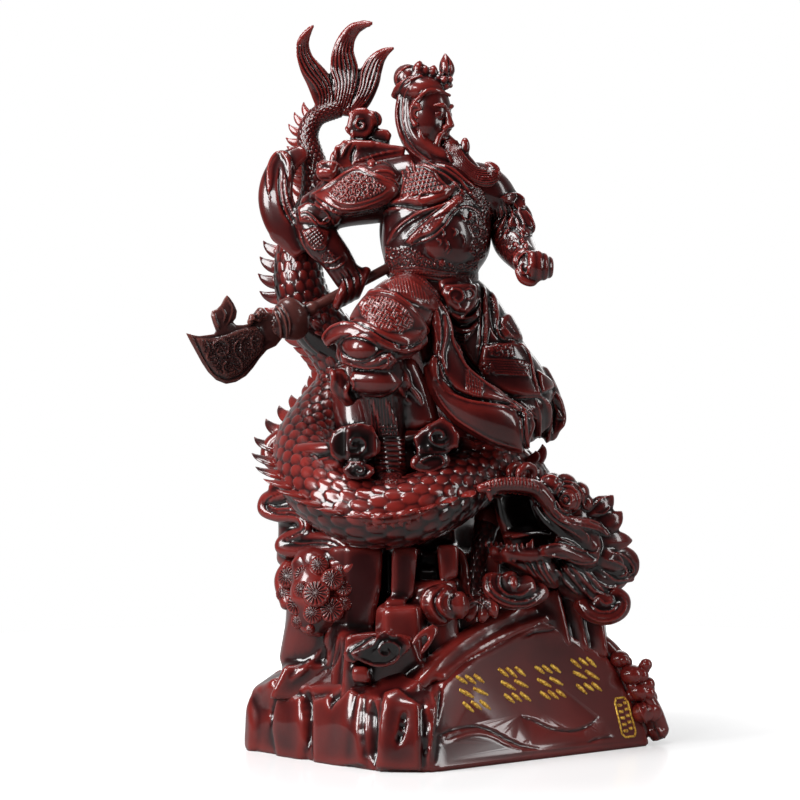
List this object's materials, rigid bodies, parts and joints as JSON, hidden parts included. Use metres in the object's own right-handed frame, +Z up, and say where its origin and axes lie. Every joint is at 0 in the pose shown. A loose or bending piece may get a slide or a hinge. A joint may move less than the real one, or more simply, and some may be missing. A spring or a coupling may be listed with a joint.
{
  "type": "cast resin statue of a general on a dragon rock",
  "caption": "Cast figure of a robed, armoured general with a long-handled glaive, one foot on a dragon coiled round a rock, on a hewn rock plinth.",
  "frame": {"origin": "middle of the plinth's underside", "axes": "+Z up, -Y out of the plinth's long front face with the panel of strokes, +X to the right seen from the front"},
  "size_m": [0.296, 0.1947, 0.4861],
  "materials": {
    "lacquered_resin": "deep red-black gloss lacquer over cast resin, darker in the recesses and orange-red on raised edges",
    "weapon_resin": "brown-red satin lacquer over cast resin, with low relief",
    "gilding": "hand-laid gold paint on the strokes of the front panel"
  },
  "bodies": {
    "root": {"statue": "lacquered_resin", "guandao": "weapon_resin"}
  },
  "joints": []
}
